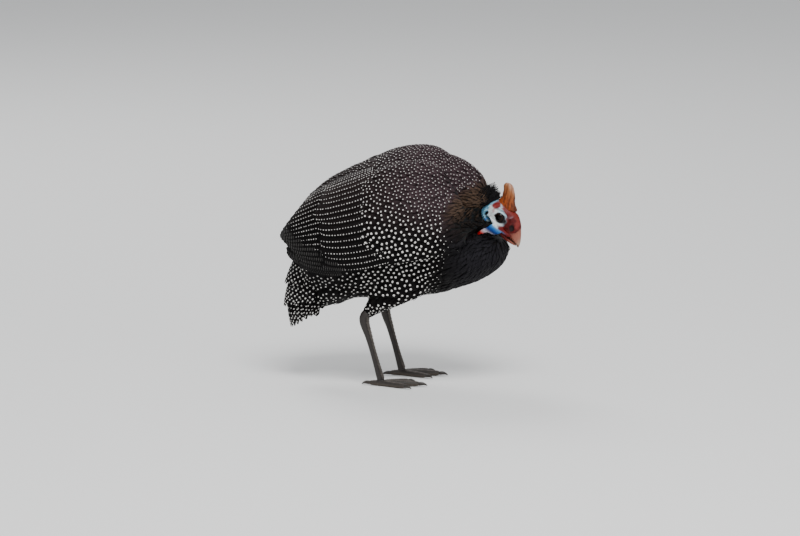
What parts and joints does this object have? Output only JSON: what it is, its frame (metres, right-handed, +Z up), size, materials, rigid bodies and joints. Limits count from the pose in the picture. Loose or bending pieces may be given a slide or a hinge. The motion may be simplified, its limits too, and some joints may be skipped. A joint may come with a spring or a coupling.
{
  "type": "helmeted guineafowl",
  "caption": "Standing guineafowl, hunched with its head drawn in, folded wings and hanging tail, as a still life-size figure.",
  "frame": {"origin": "on the floor under the middle of the body", "axes": "+X the way the bird faces, +Y its left side, +Z up"},
  "size_m": [0.3044, 0.18, 0.3007],
  "materials": {
    "plumage": "black feathers with small white spots, soft satin",
    "collar": "soft dark brown feathers with a purple sheen, matt",
    "skin": "bare skin, pale blue with a white ring round the eye and a red cere, satin",
    "casque": "orange-brown horn with a paler tip, rough",
    "bill": "pinkish horn, satin",
    "wattle": "bare skin, blue with a red tip, satin",
    "eye": "very dark brown, wet gloss",
    "leg": "dark grey-brown scales, matt",
    "claw": "dark horn, satin"
  },
  "bodies": {
    "root": {"torso": "plumage", "left_wing": "plumage", "right_wing": "plumage", "tail": "plumage", "left_thigh": "plumage", "right_thigh": "plumage", "neck": "collar", "head": "skin", "casque": "casque", "upper_bill": "bill", "lower_bill": "bill", "left_wattle": "wattle", "right_wattle": "wattle", "left_eye": "eye", "right_eye": "eye", "left_shank": "leg", "right_shank": "leg", "left_foot": "leg", "right_foot": "leg", "left_inner_claw": "claw", "left_middle_claw": "claw", "left_outer_claw": "claw", "left_hind_claw": "claw", "right_inner_claw": "claw", "right_middle_claw": "claw", "right_outer_claw": "claw", "right_hind_claw": "claw"}
  },
  "joints": []
}
